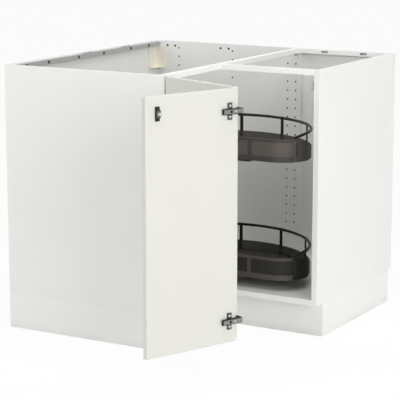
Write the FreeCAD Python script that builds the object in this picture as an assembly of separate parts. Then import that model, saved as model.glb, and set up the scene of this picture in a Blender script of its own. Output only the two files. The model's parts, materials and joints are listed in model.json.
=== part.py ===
import FreeCAD, Part
import math
import os

# Corner base cabinet with a folding pair of doors and two carousel trays.
# Millimetres. X runs to the right along the left panel, Y to the back, Z up.
# While it is built, the zero point is the floor below the outer rear corner of the left panel.

# Carcass
wing_length = 955.6
box_depth = 600.0
box_height = 762.0
plinth_height = 114.3
board = 18.0
back_board = 5.0

# Sides of the small round details that repeat, which keeps their faces few
small_sides = 6
hidden_sides = 8
bearing_sides = 16
cup_sides = 20

# Shelf-pin holes in the side panels
pin_hole_diameter = 5.0
pin_hole_depth = 11.0
pin_pitch = 32.0
first_row_drop = 23.5
rear_column = 100.0
middle_column = 325.0
front_column_inset = 50.0
edge_column_inset = 18.0
long_column_rows = 20
short_column_rows = 6
side_column_rows = 4
fitting_hole_diameter = 8.0
fitting_hole_drop = 16.0
fitting_hole_places = (51.0, 83.0, 276.0, 309.0, 532.0)

# Steel rails round the open top
rail_sheet = 1.5
front_rail_width = 25.0
front_rail_height = 16.0
rear_rail_depth = 14.0
rear_rail_height = 15.0
rear_rail_drop = 4.0
rear_rail_hole = 9.0
rear_rail_hole_offsets = (78.0, 257.0, 380.0)
rear_rail_tab_length = 54.0
rear_rail_tab_offsets = (-20.0, 225.0)
annex_slot_length = 25.0
annex_slot_height = 8.0
annex_slot_offset = 74.0

# Corner bracket in the rear corner
bracket_back_leg = 64.0
bracket_side_leg = 38.0
bracket_height = 80.0
bracket_wall = 4.0
bracket_rib = 3.0

# Plinth and legs
plinth_board = 16.0
plinth_setback = 50.0
plinth_lift = 1.5
right_plinth_rear_gap = 23.0
leg_inset = 75.0
leg_behind_plinth = 45.0
leg_plate = 64.0
leg_plate_thickness = 5.0
leg_tube_diameter = 34.0
leg_bore = 22.0
leg_tube_bottom = 40.0
leg_screw_clearance = 0.3
leg_screw_length = 40.0
foot_diameter = 56.0
foot_thickness = 8.0
foot_neck_diameter = 30.0
clip_width = 24.0
clip_height = 14.0
clip_lower_z = 50.0
clip_upper_z = 70.0
clip_clearance = 0.2

# Doors
door_thickness = 18.0
door_gap = 3.5
door_reveal = 1.5
door_corner_gap = 3.6
door_end_gap = 3.0
door_edge_break = 1.2
open_angle = 112.0

# Main hinges, on the left panel
hinge_end_inset = 65.0
wing_height = 50.0
wing_width = 16.0
wing_thickness = 3.0
wing_screw_pitch = 32.0
main_wing_inset = 37.0
arm_height = 17.0
arm_depth = 12.0
arm_length = 62.0
arm_bevel = 2.5
arm_front_inset = 8.0
cup_diameter = 35.0
cup_depth = 14.4
cup_wall = 0.5
cup_edge = 3.0
cup_flange_length = 52.0
cup_flange_width = 20.0
cup_flange_thickness = 1.0
pin_depth_in_cup = 10.0
pin_edge = 9.5
hinge_pin_diameter = 3.0
pin_running_clearance = 0.05
neck_thickness = 2.4
neck_height = 6.0
neck_eye_diameter = 6.4
neck_bend = 9.0
neck_straight = 12.0
screw_head_diameter = 8.0
screw_head_height = 1.8

# Folding hinges, between the doors
fold_pin_inset = 14.0
fold_pin_diameter = 4.0
fold_wing_inset = 28.0
fold_arm_length = 57.0
fold_arm_depth = 9.0
fold_arm_half_width = 3.5
fold_prong_reach = 16.0
fold_knuckle_diameter = 8.0
fold_tongue_height = 6.0
fold_axial_gap = 0.3
strap_thickness = 2.5
strap_root = 10.0

# Catch on the free door and its strike on the right panel
catch_edge = 40.0
catch_drop = 50.0
catch_base_height = 41.0
catch_base_width = 14.0
catch_base_thickness = 4.0
catch_root_height = 31.0
catch_mouth_height = 17.0
catch_boss_length = 10.0
plunger_diameter = 10.0
plunger_reach = 20.0
plunger_travel = 4.0
plunger_clearance = 0.05
strike_gap = 0.3
strike_plate = 2.0
strike_height = 30.0
strike_length = 30.0

# Carousel
post_setback = 70.0
post_diameter = 25.0
post_wall = 2.0
post_rise = 95.0
base_diameter = 130.0
base_thickness = 5.0
base_boss_diameter = 44.0
base_boss_height = 20.0
base_screw_circle = 100.0
cap_plug_depth = 12.0
cap_height = 5.0
collar_diameter = 44.0
collar_height = 14.0
post_running_clearance = 0.06
tray_seat_gap = 0.3
lower_tray_z = 169.5
tray_spacing = 393.5
tray_side_gap = 77.6
tray_front = 30.0
tray_corner = 90.0
tray_wall = 3.0
tray_floor = 3.0
front_wall_height = 75.0
round_wall_height = 35.0
wall_step_reach = 42.0
wall_step_run = 138.0
trim_thickness = 1.5
trim_top_band = 9.0
trim_bottom_band = 18.0
trim_rib_width = 13.0
trim_end_reach = 32.0
groove_width = 2.0
groove_depth = 1.2
groove_turn_angle = 58.0
hub_radius = 158.0
hub_drop = 5.0
sleeve_diameter = 42.0
sleeve_rise = 30.0
sleeve_seat_clearance = 0.1
guard_diameter = 7.0
guard_height = 92.0
guard_end_gap = 0.2
guard_end_turn = 54.0
guard_sides = 6
tray_back_angle = 135.0
guard_post_width = 11.0
guard_post_thickness = 3.0
guard_post_pairs = 3
guard_back_gap_angle = 34.0
guard_post_angle = 29.0
guard_foot_thickness = 2.0
guard_foot_clearance = 0.1
guard_knuckle_diameter = 11.0
guard_clip_clearance = 0.15

# Values that follow from the sizes above
opening = wing_length - box_depth
top = plinth_height + box_height
inner_far = wing_length - board
floor_top = plinth_height + board
door_bottom = plinth_height + door_end_gap
door_top = top - door_end_gap
door_width = opening - door_reveal - door_corner_gap - door_thickness - door_gap
tray_radius = opening + post_setback - board - tray_side_gap
guard_radius = tray_radius - tray_wall / 2
up = FreeCAD.Vector(0, 0, 1)
nodes = {}


def point(x, y, z=0.0):
    return FreeCAD.Vector(x, y, z)


def spread(middle, size):
    return (middle - size / 2, middle + size / 2)


def block(x_span, y_span, z_span):
    size = [high - low for low, high in (x_span, y_span, z_span)]
    return Part.makeBox(*size, point(x_span[0], y_span[0], z_span[0]))


def rod(diameter, start, end):
    return Part.makeCylinder(diameter / 2, (end - start).Length, start, end - start)


def facetted(diameter, start, end, sides):
    """A many-sided rod, for small round details that repeat."""
    along = end - start
    side = point(0, 1) if along.x else point(1, 0)
    other = FreeCAD.Vector(along).normalize().cross(side)
    turns = [2 * math.pi * (step + 0.5) / sides for step in range(sides)]
    size = diameter / 2
    ring = [start + side * (size * math.cos(turn)) + other * (size * math.sin(turn)) for turn in turns]
    return Part.Face(Part.Wire(polygon(ring))).extrude(along)


def facetted_upright(diameter, place, z_span, sides):
    return facetted(diameter, point(place.x, place.y, z_span[0]), point(place.x, place.y, z_span[1]), sides)


def round_a_rod(diameter, sides):
    """The width over the corners of a many-sided hole whose flats touch a round rod."""
    return diameter / math.cos(math.pi / sides)


def upright(diameter, place, z_span):
    return rod(diameter, point(place.x, place.y, z_span[0]), point(place.x, place.y, z_span[1]))


def tube(outer, bore, place, z_span):
    return upright(outer, place, z_span).cut(upright(bore, place, z_span))


def prism(edges, z_span):
    face = Part.Face(Part.Wire(edges))
    face.translate(up * z_span[0])
    return face.extrude(up * (z_span[1] - z_span[0]))


def polygon(points):
    return [Part.LineSegment(a, b).toShape() for a, b in zip(points, points[1:] + points[:1])]


def joined(shapes):
    whole = shapes[0].multiFuse(shapes[1:]) if len(shapes) > 1 else shapes[0]
    return whole.removeSplitter()


def without(shape, tools):
    return shape.cut(Part.makeCompound(tools))


def keep(name, solids):
    nodes[name] = solids


# Side panels, drilled with blind shelf-pin holes on their inner faces

def row_heights(rows):
    return [top - first_row_drop - row * pin_pitch for row in range(rows)]


def panel_bores(columns, on_face, inward):
    bores = []
    for along, rows in columns:
        for z in row_heights(rows):
            start = on_face(along, z)
            bores.append(facetted(pin_hole_diameter, start, start + inward * pin_hole_depth, small_sides))
    return bores


front_column = box_depth - front_column_inset
edge_column = box_depth - edge_column_inset
side_columns = [(rear_column, side_column_rows), (front_column, side_column_rows)]
far_columns = [
    (rear_column, short_column_rows),
    (middle_column, short_column_rows),
    (front_column, long_column_rows),
    (edge_column, long_column_rows),
]
fitting_bores = [
    facetted(
        fitting_hole_diameter,
        point(along, inner_far, top - fitting_hole_drop),
        point(along, inner_far + pin_hole_depth, top - fitting_hole_drop),
        small_sides,
    )
    for along in fitting_hole_places
]
left_bores = panel_bores(side_columns, lambda along, z: point(along, board, z), point(0, -1))
far_bores = panel_bores(far_columns, lambda along, z: point(along, inner_far, z), point(0, 1))
right_bores = panel_bores(
    side_columns, lambda along, z: point(inner_far, wing_length - along, z), point(1, 0)
)
panel_z = (plinth_height, top)
left_panel = block((0, box_depth), (0, board), panel_z)
far_panel = block((0, box_depth), (inner_far, wing_length), panel_z)
right_panel = block((inner_far, wing_length), (opening, wing_length), panel_z)
keep("left_side_panel", [without(left_panel, left_bores)])
keep("far_side_panel", [without(far_panel, far_bores + fitting_bores)])
keep("right_side_panel", [without(right_panel, right_bores)])

# Bottom panels and thin backs

floor_z = (plinth_height, floor_top)
keep("main_bottom_panel", [block((back_board, box_depth), (board, inner_far), floor_z)])
keep("annex_bottom_panel", [block((box_depth, inner_far), (opening, wing_length - back_board), floor_z)])
keep("main_back_panel", [block((0, back_board), (board, inner_far), panel_z)])
keep("annex_back_panel", [block((box_depth, inner_far), (wing_length - back_board, wing_length), panel_z)])

# Folded steel rails round the top

front_rail_z = (top - front_rail_height, top)
front_rail_hollow_z = (top - front_rail_height, top - rail_sheet)
long_x = (box_depth - front_rail_width, box_depth)
long_rail = block(long_x, (board, inner_far), front_rail_z)
long_hollow = block(
    (long_x[0] + rail_sheet, long_x[1] - rail_sheet), (board, inner_far), front_rail_hollow_z
)
keep("long_front_rail", [long_rail.cut(long_hollow)])
annex_y = (opening, opening + front_rail_width)
annex_rail = block((box_depth, inner_far), annex_y, front_rail_z)
annex_hollow = block(
    (box_depth, inner_far), (annex_y[0] + rail_sheet, annex_y[1] - rail_sheet), front_rail_hollow_z
)
keep("annex_front_rail", [annex_rail.cut(annex_hollow)])

rear_rail_top = top - rear_rail_drop
rear_rail_bottom = rear_rail_top - rear_rail_height
rear_rail_face = back_board + rear_rail_depth
rear_rail_middle = wing_length / 2
rear_rail = block((back_board, rear_rail_face), (board, inner_far), (rear_rail_bottom, rear_rail_top))
rear_hollow = block(
    (back_board, rear_rail_face - rail_sheet),
    (board, inner_far),
    (rear_rail_bottom + rail_sheet, rear_rail_top - rail_sheet),
)
rear_hole_z = (rear_rail_bottom + rear_rail_top) / 2
rear_holes = [
    facetted(
        rear_rail_hole,
        point(rear_rail_face - 2 * rail_sheet, rear_rail_middle + side * offset, rear_hole_z),
        point(rear_rail_face + rail_sheet, rear_rail_middle + side * offset, rear_hole_z),
        hidden_sides,
    )
    for offset in rear_rail_hole_offsets
    for side in (-1, 1)
]
rear_tabs = [
    block(
        (rear_rail_face - rail_sheet, rear_rail_face),
        spread(rear_rail_middle + offset, rear_rail_tab_length),
        (rear_rail_top, top),
    )
    for offset in rear_rail_tab_offsets
]
keep("rear_rail", [joined([without(rear_rail, [rear_hollow] + rear_holes)] + rear_tabs)])

annex_rear_y = (wing_length - back_board - rear_rail_depth, wing_length - back_board)
annex_rear_rail = block((box_depth, inner_far), annex_rear_y, front_rail_z)
annex_rear_hollow = block(
    (box_depth, inner_far),
    (annex_rear_y[0] + rail_sheet, annex_rear_y[1]),
    (front_rail_z[0] + rail_sheet, top - rail_sheet),
)
annex_middle = (box_depth + inner_far) / 2
annex_slots = [
    block(
        spread(annex_middle + side * annex_slot_offset, annex_slot_length),
        spread(annex_rear_y[0], 3 * rail_sheet),
        spread(top - front_rail_height / 2, annex_slot_height),
    )
    for side in (-1, 1)
]
keep("annex_rear_rail", [without(annex_rear_rail, [annex_rear_hollow] + annex_slots)])

# Moulded bracket in the rear corner: two legs and a rib along its foot

bracket_z = (rear_rail_bottom - bracket_height, rear_rail_bottom)
bracket_corner = point(back_board, inner_far)
bracket_back = block(
    (bracket_corner.x, bracket_corner.x + bracket_wall),
    (bracket_corner.y - bracket_back_leg, bracket_corner.y),
    bracket_z,
)
bracket_side = block(
    (bracket_corner.x, bracket_corner.x + bracket_side_leg),
    (bracket_corner.y - bracket_wall, bracket_corner.y),
    bracket_z,
)
bracket_gusset = prism(
    polygon([
        bracket_corner,
        bracket_corner + point(bracket_side_leg, 0),
        bracket_corner + point(0, -bracket_back_leg),
    ]),
    (bracket_z[0], bracket_z[0] + bracket_rib),
)
keep("corner_bracket", [joined([bracket_back, bracket_side, bracket_gusset])])

# Plinth boards: the outer two flush with the panels, the front two set back

plinth_z = (plinth_lift, plinth_height)
main_plinth_x = (box_depth - plinth_setback - plinth_board, box_depth - plinth_setback)
annex_plinth_y = (opening + plinth_setback, opening + plinth_setback + plinth_board)
right_plinth_x = (wing_length - plinth_board, wing_length)
keep("plinth_left", [block((0, main_plinth_x[1]), (0, plinth_board), plinth_z)])
keep("plinth_main_front", [block(main_plinth_x, (plinth_board, annex_plinth_y[1]), plinth_z)])
keep("plinth_annex_front", [block((main_plinth_x[1], right_plinth_x[0]), annex_plinth_y, plinth_z)])
keep(
    "plinth_right",
    [block(right_plinth_x, (annex_plinth_y[0], wing_length - right_plinth_rear_gap), plinth_z)],
)

# Legs: a moulded socket under the bottom panels and a screw foot in each

front_leg_x = main_plinth_x[0] - leg_behind_plinth
front_leg_y = annex_plinth_y[1] + leg_behind_plinth
far_leg = wing_length - leg_inset
leg_places = [
    point(leg_inset, leg_inset),
    point(front_leg_x, leg_inset),
    point(leg_inset, far_leg),
    point(front_leg_x, front_leg_y),
    point(far_leg, front_leg_y),
    point(far_leg, far_leg),
]


def leg_socket(place):
    half = leg_plate / 2
    plate = block(
        (place.x - half, place.x + half),
        (place.y - half, place.y + half),
        (plinth_height - leg_plate_thickness, plinth_height),
    )
    tube_z = (leg_tube_bottom, plinth_height - leg_plate_thickness)
    body = facetted_upright(leg_tube_diameter, place, tube_z, hidden_sides)
    bore = facetted_upright(leg_bore, place, tube_z, hidden_sides)
    return joined([plate, body]).cut(bore)


def leg_foot(place):
    screw_diameter = leg_bore - 2 * leg_screw_clearance
    pad = facetted_upright(foot_diameter, place, (0, foot_thickness), hidden_sides)
    neck = facetted_upright(foot_neck_diameter, place, (foot_thickness, leg_tube_bottom), hidden_sides)
    screw_z = (leg_tube_bottom, leg_tube_bottom + leg_screw_length)
    screw = facetted_upright(screw_diameter, place, screw_z, hidden_sides)
    return joined([pad, neck, screw])


keep("leg_sockets", [leg_socket(place) for place in leg_places])
keep("leg_feet", [leg_foot(place) for place in leg_places])


def plinth_clip(leg, toward, board_face, z):
    """A jaw round half of a leg, on a bar that reaches the back of a plinth board."""
    across = point(-toward.y, toward.x)
    reach = board_face - leg * toward
    corners = [
        leg + across * (clip_width / 2),
        leg - across * (clip_width / 2),
        leg - across * (clip_width / 2) + toward * reach,
        leg + across * (clip_width / 2) + toward * reach,
    ]
    bar = prism(polygon(corners), (z, z + clip_height))
    jaw_diameter = leg_tube_diameter + 2 * clip_clearance
    return bar.cut(facetted_upright(jaw_diameter, leg, (z, z + clip_height), hidden_sides))


to_left = point(0, -1)
to_right = point(1, 0)
keep(
    "plinth_clips",
    [
        plinth_clip(leg_places[0], to_left, -plinth_board, clip_lower_z),
        plinth_clip(leg_places[1], to_left, -plinth_board, clip_lower_z),
        plinth_clip(leg_places[1], to_right, main_plinth_x[0], clip_upper_z),
        plinth_clip(leg_places[3], to_right, main_plinth_x[0], clip_upper_z),
        plinth_clip(leg_places[3], to_left, -annex_plinth_y[1], clip_lower_z),
        plinth_clip(leg_places[4], to_left, -annex_plinth_y[1], clip_lower_z),
        plinth_clip(leg_places[4], to_right, right_plinth_x[0], clip_upper_z),
        plinth_clip(leg_places[5], to_right, right_plinth_x[0], clip_upper_z),
    ],
)

# Carousel post on its base plate

post_place = point(box_depth - post_setback, opening + post_setback)
upper_tray_z = lower_tray_z + tray_spacing
base_top = floor_top + base_thickness
boss_top = base_top + base_boss_height
post_top = upper_tray_z + post_rise
post_socket = round_a_rod(post_diameter, bearing_sides)
post_bore = post_diameter - 2 * post_wall


def post_ring(diameter, z_span):
    outer = facetted_upright(diameter, post_place, z_span, bearing_sides)
    return outer.cut(facetted_upright(post_socket, post_place, z_span, bearing_sides))


base_disc = facetted_upright(base_diameter, post_place, (floor_top, base_top), 2 * bearing_sides)
keep("carousel_base", [joined([base_disc, post_ring(base_boss_diameter, (base_top, boss_top))])])
post_rod = upright(post_diameter, post_place, (base_top, post_top))
post_hollow = facetted_upright(post_bore, post_place, (base_top, post_top), bearing_sides)
keep("carousel_post", [post_rod.cut(post_hollow)])
keep(
    "base_screws",
    [
        facetted_upright(
            screw_head_diameter,
            post_place + point(math.cos(turn), math.sin(turn)) * (base_screw_circle / 2),
            (base_top, base_top + screw_head_height),
            small_sides,
        )
        for turn in [math.radians(45 + 90 * quarter) for quarter in range(4)]
    ],
)
cap_plug = facetted_upright(post_bore, post_place, (post_top - cap_plug_depth, post_top), bearing_sides)
cap_disc = facetted_upright(post_diameter, post_place, (post_top, post_top + cap_height), bearing_sides)
cap_rim = [edge for edge in cap_disc.Edges if edge.BoundBox.ZMin > post_top]
keep("post_cap", [joined([cap_plug, cap_disc.makeChamfer(cap_height / 2, cap_rim)])])


def collar(tray_z):
    seat = tray_z - hub_drop - tray_seat_gap
    return post_ring(collar_diameter, (max(seat - collar_height, boss_top), seat))


keep("tray_collars", [collar(lower_tray_z), collar(upper_tray_z)])


# Trays: a pan with two tall straight walls at its notch and a low round wall behind

def mirrored(place):
    """The same place across the tray's line of symmetry, through the notch."""
    return point(-place.y, -place.x)


def wall_reach(radius, front, corner):
    """How far a straight wall runs from the post's line before the rounded corner starts."""
    return math.sqrt((radius - corner) ** 2 - (corner - front) ** 2)


tray_corner_place = point(wall_reach(tray_radius, tray_front, tray_corner), tray_corner - tray_front)
corner_outward = FreeCAD.Vector(tray_corner_place).normalize()


def across_notch(shape):
    """The same shape on the tray's other arm."""
    return shape.mirror(point(0, 0), point(1, 1))


def tray_outline(inset):
    """The edges of the pan's outline about the post, drawn in by an inset."""
    front = tray_front - inset
    corner = tray_corner - inset
    bisector = (corner_outward + point(0, -1)).normalize()
    notch = point(front, -front)
    wall_end = point(tray_corner_place.x, -front)
    corner_middle = tray_corner_place + bisector * corner
    round_end = corner_outward * (tray_radius - inset)
    back = point(-1, 1).normalize() * (tray_radius - inset)
    return [
        Part.LineSegment(notch, wall_end).toShape(),
        Part.Arc(wall_end, corner_middle, round_end).toShape(),
        Part.Arc(round_end, back, mirrored(round_end)).toShape(),
        Part.Arc(mirrored(round_end), mirrored(corner_middle), mirrored(wall_end)).toShape(),
        Part.LineSegment(mirrored(wall_end), notch).toShape(),
    ]


def step_cutter(wide):
    """A wedge that slopes the wall down to its low height behind the notch."""
    start = wall_step_reach - tray_front
    profile = [
        point(-wide, start, front_wall_height),
        point(-wide, start + wall_step_run, round_wall_height),
        point(-wide, wide, round_wall_height),
        point(-wide, wide, front_wall_height),
    ]
    return Part.Face(Part.Wire(polygon(profile))).extrude(point(2 * wide, 0))


def wall_groove():
    """An upright groove in the rounded corner, where the front wall ends."""
    groove = block(
        (tray_corner - groove_depth, tray_corner + groove_width),
        spread(0, groove_width),
        (trim_bottom_band, front_wall_height - trim_top_band),
    )
    groove.rotate(point(0, 0), up, groove_turn_angle - 90)
    groove.translate(tray_corner_place)
    return groove


def tray_pan():
    wide = 2 * tray_radius
    shell = prism(tray_outline(0), (0, front_wall_height))
    hollow = prism(tray_outline(tray_wall), (tray_floor, front_wall_height))
    step = step_cutter(wide)
    groove = wall_groove()
    bore_diameter = sleeve_diameter + 2 * sleeve_seat_clearance
    bore = facetted_upright(bore_diameter, point(0, 0), (0, tray_floor), bearing_sides)
    cuts = [step, across_notch(step), groove, across_notch(groove), bore]
    return without(shell.cut(hollow), cuts)


def tray_trim():
    """The moulded frame on the front walls: a band along the top and the foot, and a rib on each."""
    wide = 2 * tray_radius
    height = (0, front_wall_height)
    skin = prism(tray_outline(-trim_thickness), height).cut(prism(tray_outline(0), height))
    end = trim_end_reach - tray_front
    foot = block((-end, wide), (-wide, end), (0, trim_bottom_band))
    lip = block((-end, wide), (-wide, end), (front_wall_height - trim_top_band, front_wall_height))
    rib = block(spread(hub_radius, trim_rib_width), (-wide, 0), height)
    return skin.common(joined([foot, lip, rib, across_notch(rib)]))


def tray_hub():
    """The dark bearing plate below the pan, cut at the notch, and its sleeve on the post."""
    plate = upright(2 * hub_radius, point(0, 0), (-hub_drop, 0))
    notch = block((tray_front, 2 * hub_radius), (-2 * hub_radius, -tray_front), (-hub_drop, 0))
    sleeve = facetted_upright(sleeve_diameter, point(0, 0), (-hub_drop, sleeve_rise), bearing_sides)
    bore = upright(post_diameter + 2 * post_running_clearance, point(0, 0), (-hub_drop, sleeve_rise))
    return joined([plate.cut(notch), sleeve]).cut(bore)


def guard_section(at, along, across):
    turns = [2 * math.pi * (side + 0.5) / guard_sides for side in range(guard_sides)]
    size = guard_diameter / 2
    ring = [at + across * (size * math.cos(turn)) + along * (size * math.sin(turn)) for turn in turns]
    return Part.Face(Part.Wire(polygon(ring)))


def guard_rail():
    """A bent rod over the round wall, whose ends turn the corners and come down on the front walls."""
    start = math.degrees(math.atan2(corner_outward.y, corner_outward.x))
    at = corner_outward * guard_radius + up * guard_height
    section = guard_section(at, up, corner_outward)
    ring = section.revolve(point(0, 0), up, 2 * (tray_back_angle - start))
    bend = section.revolve(tray_corner_place, up * -1, guard_end_turn)
    drop = guard_height - front_wall_height - guard_diameter / 2 - guard_end_gap
    fall = (tray_corner - tray_wall / 2) * (1 - math.cos(math.radians(guard_end_turn)))
    bend.rotate(at, point(corner_outward.y, -corner_outward.x), math.degrees(math.asin(drop / fall)))
    return joined([ring, bend, across_notch(bend)])


def guard_post(angle):
    """A flat post on the round wall's rim, with a foot inside the wall and a knuckle round the rail."""
    wide = spread(0, guard_post_width)
    inner = tray_radius - tray_wall - guard_foot_clearance
    foot = block((inner - guard_foot_thickness, inner), wide, (tray_floor, round_wall_height))
    over_rim = (round_wall_height, round_wall_height + guard_foot_thickness)
    bridge = block((inner - guard_foot_thickness, tray_radius), wide, over_rim)
    stalk = block(spread(guard_radius, guard_post_thickness), wide, (round_wall_height, guard_height))
    ends = [point(guard_radius, y, guard_height) for y in wide]
    knuckle = facetted(guard_knuckle_diameter, *ends, hidden_sides)
    bore = facetted(guard_diameter + 2 * guard_clip_clearance, *ends, guard_sides)
    post = joined([foot, bridge, stalk, knuckle]).cut(bore)
    post.rotate(point(0, 0), up, angle)
    return post


def placed_on_post(shape, tray_z):
    moved = shape.copy()
    moved.translate(post_place + up * tray_z)
    return moved


post_offsets = [0.0]
for pair in range(guard_post_pairs):
    offset = guard_back_gap_angle + guard_post_angle * pair
    post_offsets += [offset, -offset]
guard_posts = [guard_post(tray_back_angle + offset) for offset in post_offsets]
tray_pieces = {
    "tray": [tray_pan()],
    "tray_trim": [tray_trim()],
    "tray_hub": [tray_hub()],
    "tray_guard_rail": [guard_rail()],
    "tray_guard_posts": guard_posts,
}
for level, tray_z in (("upper", upper_tray_z), ("lower", lower_tray_z)):
    for piece, solids in tray_pieces.items():
        keep(f"{level}_{piece}", [placed_on_post(solid, tray_z) for solid in solids])

# Doors, drawn closed. The hinged door lies along Y, the free door along X

hinged_x = (box_depth + door_gap, box_depth + door_gap + door_thickness)
hinged_y = (door_reveal, door_reveal + door_width)
free_y = (opening - door_gap - door_thickness, opening - door_gap)
free_x = (wing_length - door_reveal - door_width, wing_length - door_reveal)
hinge_heights = [door_bottom + hinge_end_inset, door_top - hinge_end_inset]
main_pin = point(hinged_x[0] + pin_depth_in_cup, hinged_y[0] + pin_edge)
fold_pin = point(box_depth + fold_pin_inset, opening - fold_pin_inset)
main_cup_y = hinged_y[0] + cup_edge + cup_diameter / 2
fold_cup_y = hinged_y[1] - cup_edge - cup_diameter / 2


def slab(x_span, y_span):
    panel = block(x_span, y_span, (door_bottom, door_top))
    return panel.makeChamfer(door_edge_break, panel.Edges)


def across_hinged_door(diameter, y, z, from_depth, to_depth):
    face = hinged_x[0]
    return facetted(diameter, point(face + from_depth, y, z), point(face + to_depth, y, z), cup_sides)


cup_pockets = [
    across_hinged_door(cup_diameter, y, z, -door_thickness, cup_depth)
    for y in (main_cup_y, fold_cup_y)
    for z in hinge_heights
]
hinged_door = without(slab(hinged_x, hinged_y), cup_pockets)
free_door = slab(free_x, free_y)


def hinge_cup(y, z):
    """A pressed cup in the door with a flat flange on the door's inner face."""
    bowl = across_hinged_door(cup_diameter, y, z, 0, cup_depth)
    flange = block(
        (hinged_x[0] - cup_flange_thickness, hinged_x[0]),
        spread(y, cup_flange_width),
        spread(z, cup_flange_length),
    )
    inside = across_hinged_door(
        cup_diameter - 2 * cup_wall, y, z, -2 * cup_flange_thickness, cup_depth - cup_wall
    )
    return joined([bowl, flange]).cut(inside)


def cup_pin(z):
    """The pin across the cup, its ends shaped to the cup's round wall."""
    inside = across_hinged_door(cup_diameter - 2 * cup_wall, main_cup_y, z, 0, cup_depth)
    return upright(hinge_pin_diameter, main_pin, (z - cup_diameter, z + cup_diameter)).common(inside)


# Main hinges: a wing plate on the left panel, and an arm whose hooked neck reaches the pin in the cup

def wing_holes_z(z):
    return spread(z, wing_screw_pitch)


def main_wing(z):
    x = box_depth - main_wing_inset
    return block(
        spread(x, wing_width),
        (board, board + wing_thickness),
        spread(z, wing_height),
    )


def bevelled(bar):
    """A pressed arm's bar, with its two long edges away from the plate bevelled."""
    far = bar.BoundBox.YMax - arm_bevel
    outer = [edge for edge in bar.Edges if edge.BoundBox.YMin > far]
    return bar.makeChamfer(arm_bevel, [edge for edge in outer if edge.BoundBox.XLength > arm_height])


def main_arm(z):
    front = box_depth - arm_front_inset
    low = board + wing_thickness
    bar = bevelled(block((front - arm_length, front), (low, low + arm_depth), spread(z, arm_height)))
    half = neck_thickness / 2
    turn_start = main_pin + point(0, neck_straight)
    bend_centre = turn_start - point(neck_bend, 0)
    neck_z = spread(z, neck_height)
    stem = block((main_pin.x - half, main_pin.x + half), (main_pin.y, turn_start.y), neck_z)
    ring = tube(2 * (neck_bend + half), 2 * (neck_bend - half), bend_centre, neck_z)
    reach = neck_bend + neck_thickness
    bend = ring.common(
        block((bend_centre.x, bend_centre.x + reach), (bend_centre.y, bend_centre.y + reach), neck_z)
    )
    neck_y = bend_centre.y + neck_bend
    tail = block((front - arm_depth, bend_centre.x), (neck_y - half, neck_y + half), neck_z)
    eye = facetted_upright(neck_eye_diameter, main_pin, neck_z, cup_sides)
    bore_diameter = round_a_rod(hinge_pin_diameter + 2 * pin_running_clearance, hidden_sides)
    bore = facetted_upright(bore_diameter, main_pin, neck_z, hidden_sides)
    return joined([bar, tail, bend, stem, eye]).cut(bore)


def main_screws(z):
    x = box_depth - main_wing_inset
    face = board + wing_thickness
    return [
        facetted(
            screw_head_diameter,
            point(x, face, height),
            point(x, face + screw_head_height, height),
            small_sides,
        )
        for height in wing_holes_z(z)
    ]


keep("main_hinge_plates", [main_wing(z) for z in hinge_heights])
keep("main_hinge_arms", [main_arm(z) for z in hinge_heights])
keep("main_hinge_screws", [screw for z in hinge_heights for screw in main_screws(z)])

# Folding hinges: a wing plate and forked arm on the free door, a cup and tongue on the hinged door

def fold_wing(z):
    x = free_x[0] + fold_wing_inset
    return block(
        spread(x, wing_width),
        (free_y[1], free_y[1] + wing_thickness),
        spread(z, wing_height),
    )


def fold_arm(z):
    low = free_y[1] + wing_thickness
    high = low + fold_arm_depth
    bar_z = spread(z, arm_height)
    bar_x = (fold_pin.x - fold_arm_half_width, free_x[0] + fold_arm_length)
    bar = bevelled(block(bar_x, (low, high), bar_z))
    prong_x = (fold_pin.x - fold_arm_half_width, fold_pin.x + fold_arm_half_width)
    prongs = block(prong_x, (fold_pin.y - fold_arm_half_width, high), bar_z)
    slot_half = fold_tongue_height / 2 + fold_axial_gap
    slot = block(
        (fold_pin.x - fold_knuckle_diameter, fold_pin.x + fold_knuckle_diameter),
        (fold_pin.y - fold_knuckle_diameter, fold_pin.y + fold_prong_reach),
        (z - slot_half, z + slot_half),
    )
    bore = facetted_upright(round_a_rod(fold_pin_diameter, hidden_sides), fold_pin, bar_z, hidden_sides)
    return without(joined([bar, prongs]), [slot, bore])


def fold_tongue(z):
    """The strap that stands in the cup, runs along the door's inner face and turns in to the pin."""
    tongue_z = spread(z, fold_tongue_height)
    outer = hinged_x[0] - cup_flange_thickness
    strap_x = (outer - strap_thickness, outer)
    root_y = spread(fold_cup_y, strap_root)
    root = block((strap_x[0], hinged_x[0] + cup_depth - cup_wall), root_y, tongue_z)
    strap = block(strap_x, (root_y[0], fold_pin.y + strap_thickness / 2), tongue_z)
    turn_in = block(
        (strap_x[0], fold_pin.x), spread(fold_pin.y, strap_thickness), tongue_z
    )
    knuckle = facetted_upright(fold_knuckle_diameter, fold_pin, tongue_z, cup_sides)
    bore_diameter = round_a_rod(fold_pin_diameter + 2 * pin_running_clearance, hidden_sides)
    bore = facetted_upright(bore_diameter, fold_pin, tongue_z, hidden_sides)
    return joined([root, strap, turn_in, knuckle]).cut(bore)


def fold_screws(z):
    x = free_x[0] + fold_wing_inset
    face = free_y[1] + wing_thickness
    return [
        facetted(
            screw_head_diameter,
            point(x, face, height),
            point(x, face + screw_head_height, height),
            small_sides,
        )
        for height in wing_holes_z(z)
    ]


def fold_pin_rod(z):
    return upright(fold_pin_diameter, fold_pin, spread(z, arm_height))


# Catch: a moulded base on the free door, a sprung plunger in it, and a strike on the right panel

catch_z = door_top - catch_drop
catch_x = free_x[1] - catch_edge
catch_face = free_y[1]
catch_base = block(
    spread(catch_x, catch_base_width),
    (catch_face, catch_face + catch_base_thickness),
    spread(catch_z, catch_base_height),
)


def catch_place(reach):
    """A place on the plunger's line, some way in from the door's inner face."""
    return point(catch_x, catch_face + reach, catch_z)


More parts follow.
